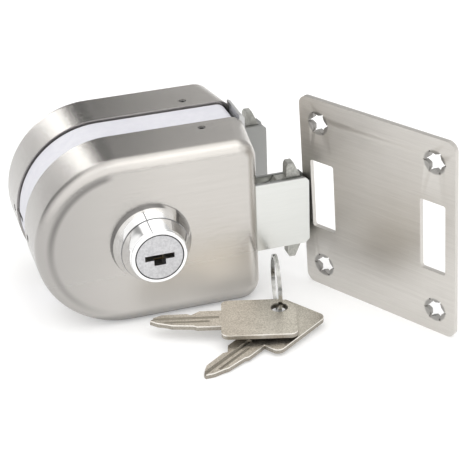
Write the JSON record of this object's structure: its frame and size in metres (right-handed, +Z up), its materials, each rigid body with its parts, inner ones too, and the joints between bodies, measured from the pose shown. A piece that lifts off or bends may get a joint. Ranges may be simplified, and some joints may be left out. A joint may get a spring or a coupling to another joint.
{
  "type": "glass door lock",
  "caption": "Clamp-on glass door lock: two D-shaped covers, keyed cylinder, turn, twin hook bolts, strike plate and keys on a ring.",
  "frame": {"origin": "on the axis of the lock cylinder, at the middle of the glass thickness", "axes": "+X from the glass door's inner side towards the bolts, +Y from the key side to the room side through the glass, +Z up"},
  "size_m": [0.117, 0.1149, 0.0656],
  "materials": {
    "cover_steel": "brushed stainless, fine lines along the length",
    "chrome": "bright chrome",
    "plug_nickel": "satin nickel",
    "brass": "machined",
    "spring_steel": "spring steel",
    "zinc": "cast zinc",
    "screw_steel": "zinc plated",
    "screw_dark": "black oxide",
    "nylon": "natural nylon",
    "web_metal": "satin",
    "packing": "matte white",
    "strike_steel": "brushed stainless, fine lines",
    "key_nickel": "worn nickel",
    "ring_steel": "polished",
    "rubber": "black rubber",
    "bolt_steel": "satin",
    "claw_zinc": "grainy cast zinc"
  },
  "bodies": {
    "case": {"front_cover": "cover_steel", "rear_cover": "cover_steel", "front_bezel": "chrome", "rear_rosette": "chrome", "cylinder_housing": "brass", "turn_bearing": "brass", "spindle_bushes": "nylon", "core_block": "web_metal", "clamp_screws": "screw_steel", "cover_screws": "screw_dark", "front_chassis": "zinc", "front_guides": "zinc", "front_guide_screws": "screw_steel", "front_detent_spring": "spring_steel", "front_gasket": "rubber", "rear_chassis": "zinc", "rear_guides": "zinc", "rear_guide_screws": "screw_steel", "rear_detent_spring": "spring_steel", "rear_gasket": "rubber"},
    "plug": {"plug": "plug_nickel", "wafers": "brass", "plug_clip": "spring_steel", "tailpiece": "zinc", "tail_screws": "screw_steel"},
    "spindle": {"spindle": "screw_steel", "front_pinion": "zinc", "rear_pinion": "zinc", "turn_knob": "chrome", "turn_set_screw": "screw_dark", "turn_clip": "spring_steel"},
    "front_bolt": {"front_bolt": "bolt_steel", "front_slide": "bolt_steel", "front_rivets": "screw_steel", "front_claw_pins": "screw_steel"},
    "front_upper_claw": {"front_upper_claw": "claw_zinc"},
    "front_lower_claw": {"front_lower_claw": "claw_zinc"},
    "rear_bolt": {"rear_bolt": "bolt_steel", "rear_slide": "bolt_steel", "rear_rivets": "screw_steel", "rear_claw_pins": "screw_steel"},
    "rear_upper_claw": {"rear_upper_claw": "claw_zinc"},
    "rear_lower_claw": {"rear_lower_claw": "claw_zinc"},
    "packing": {"glass_packing": "packing", "pull_tab": "rubber"},
    "strike": {"strike_plate": "strike_steel"},
    "lower_key": {"lower_key": "key_nickel"},
    "upper_key": {"upper_key": "key_nickel"},
    "key_ring": {"key_ring": "ring_steel"}
  },
  "joints": [
    {"name": "spindle_turn", "type": "hinge", "parent": "case", "child": "spindle", "pos_m": [0, 0, 0], "axis": [0, 1, 0], "range_deg": [0, 180]},
    {"name": "plug_turn", "type": "hinge", "parent": "case", "child": "plug", "pos_m": [0, -0.03, 0], "axis": [0, 1, 0], "range_deg": [0, 180]},
    {"name": "front_bolt_slide", "type": "slide", "parent": "case", "child": "front_bolt", "axis": [1, 0, 0], "range_m": [-0.01696, 0]},
    {"name": "front_upper_claw_swing", "type": "hinge", "parent": "front_bolt", "child": "front_upper_claw", "pos_m": [0.03075, -0.02075, 0.005], "axis": [0, 1, 0], "range_deg": [0, 30]},
    {"name": "front_lower_claw_swing", "type": "hinge", "parent": "front_bolt", "child": "front_lower_claw", "pos_m": [0.03075, -0.02075, -0.005], "axis": [0, 1, 0], "range_deg": [-30, 0]},
    {"name": "rear_bolt_slide", "type": "slide", "parent": "case", "child": "rear_bolt", "axis": [1, 0, 0], "range_m": [-0.01696, 0]},
    {"name": "rear_upper_claw_swing", "type": "hinge", "parent": "rear_bolt", "child": "rear_upper_claw", "pos_m": [0.03075, 0.02075, 0.005], "axis": [0, 1, 0], "range_deg": [0, 30]},
    {"name": "rear_lower_claw_swing", "type": "hinge", "parent": "rear_bolt", "child": "rear_lower_claw", "pos_m": [0.03075, 0.02075, -0.005], "axis": [0, 1, 0], "range_deg": [-30, 0]},
    {"name": "packing_slide_out", "type": "slide", "parent": "case", "child": "packing", "axis": [-1, 0, 0], "range_m": [0, 0.075]},
    {"name": "strike_lift", "type": "slide", "parent": "case", "child": "strike", "axis": [0, 0, 1], "range_m": [0, 0.08]},
    {"name": "keys_lift", "type": "slide", "parent": "case", "child": "lower_key", "axis": [0, -0.7071, 0.7071], "range_m": [0, 0.05]},
    {"name": "upper_key_swing", "type": "hinge", "parent": "lower_key", "child": "upper_key", "pos_m": [0.03509, -0.04182, -0.02263], "axis": [0, 0, 1], "range_deg": [-4, 14]},
    {"name": "ring_turn", "type": "hinge", "parent": "lower_key", "child": "key_ring", "pos_m": [0.03702, -0.03355, -0.01829], "axis": [-0.9815, 0.1913, 0], "range_deg": [-90, 90]}
  ],
  "couplings": [
    {"joint": "spindle_turn", "follows": "front_bolt_slide", "rad_per_m": -185.19},
    {"joint": "plug_turn", "follows": "front_bolt_slide", "rad_per_m": -185.19},
    {"joint": "front_upper_claw_swing", "follows": "front_bolt_slide", "rad_per_m": -30.864},
    {"joint": "front_lower_claw_swing", "follows": "front_bolt_slide", "rad_per_m": 30.864},
    {"joint": "rear_bolt_slide", "follows": "front_bolt_slide", "ratio": 1},
    {"joint": "rear_upper_claw_swing", "follows": "front_bolt_slide", "rad_per_m": -30.864},
    {"joint": "rear_lower_claw_swing", "follows": "front_bolt_slide", "rad_per_m": 30.864}
  ]
}
